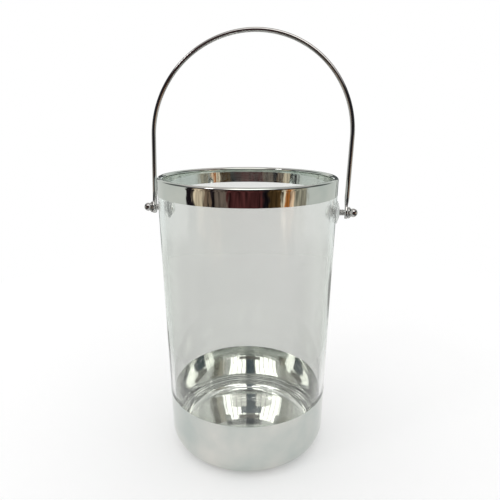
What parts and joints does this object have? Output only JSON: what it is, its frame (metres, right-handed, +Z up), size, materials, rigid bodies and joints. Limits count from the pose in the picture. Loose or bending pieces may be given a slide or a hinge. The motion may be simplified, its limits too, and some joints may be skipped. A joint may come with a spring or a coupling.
{
  "type": "ice bucket",
  "caption": "Tall round clear glass ice bucket with a silvered rim band, silvered round-cornered base and a swinging chrome wire bail on ball-headed pivot screws.",
  "frame": {"origin": "centre of the underside, on the surface that the bucket stands on", "axes": "+Z up along the axis of the vessel, X along the pivot axis of the bail, -Y towards the side that faces the viewer"},
  "size_m": [0.1466, 0.1198, 0.2906],
  "materials": {
    "clear_glass": "clear polished glass",
    "silvering": "bright electroplated silvering bonded to the glass",
    "chrome": "polished chrome plate",
    "clear_rubber": "translucent soft plastic"
  },
  "bodies": {
    "bucket": {"glass_vessel": "clear_glass", "rim_silvering": "silvering", "base_silvering": "silvering", "pivot_screw_left": "chrome", "pivot_screw_right": "chrome", "retaining_washer_left": "chrome", "retaining_washer_right": "chrome", "spacer_sleeve_left": "chrome", "spacer_sleeve_right": "chrome", "outer_grommet_left": "clear_rubber", "outer_grommet_right": "clear_rubber", "inner_pad_left": "clear_rubber", "inner_pad_right": "clear_rubber", "cap_nut_left": "chrome", "cap_nut_right": "chrome"},
    "bail": {"bail_handle": "chrome"}
  },
  "joints": [
    {"name": "bail_swing", "type": "hinge", "parent": "bucket", "child": "bail", "pos_m": [0, 0, 0.1729], "axis": [1, 0, 0], "range_deg": [-138, 162]}
  ]
}
